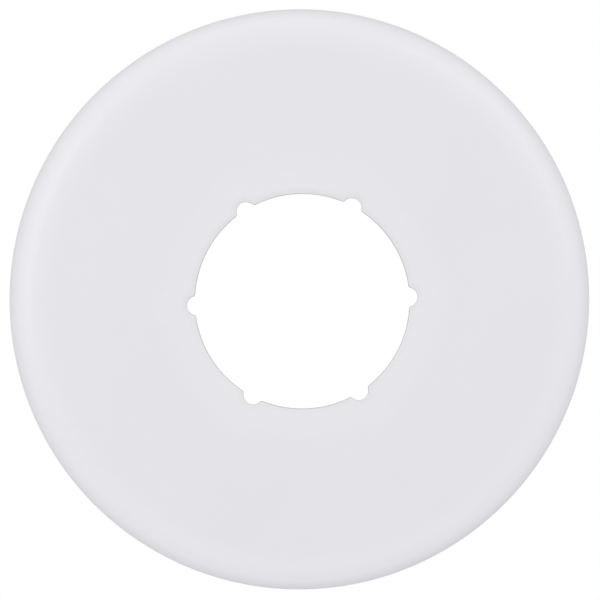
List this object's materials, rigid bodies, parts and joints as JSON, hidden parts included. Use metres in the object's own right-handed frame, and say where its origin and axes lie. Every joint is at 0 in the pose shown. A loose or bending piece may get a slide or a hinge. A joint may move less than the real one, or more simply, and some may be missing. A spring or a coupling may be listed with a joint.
{
  "type": "sprinkler escutcheon plate",
  "caption": "Round white sprinkler escutcheon: a shallow pressed-steel plate with a soft rim and a six-notched centre hole that fits round the sprinkler's thread.",
  "frame": {"origin": "centre of the rim's edge, in the plane that rests on the ceiling", "axes": "+Z is the plate's axis and points out of the visible face, away from the ceiling; +X runs through the middle of one relief notch"},
  "size_m": [0.073, 0.073, 0.0064],
  "materials": {
    "white_coat": "satin"
  },
  "bodies": {
    "root": {"escutcheon_plate": "white_coat"}
  },
  "joints": []
}
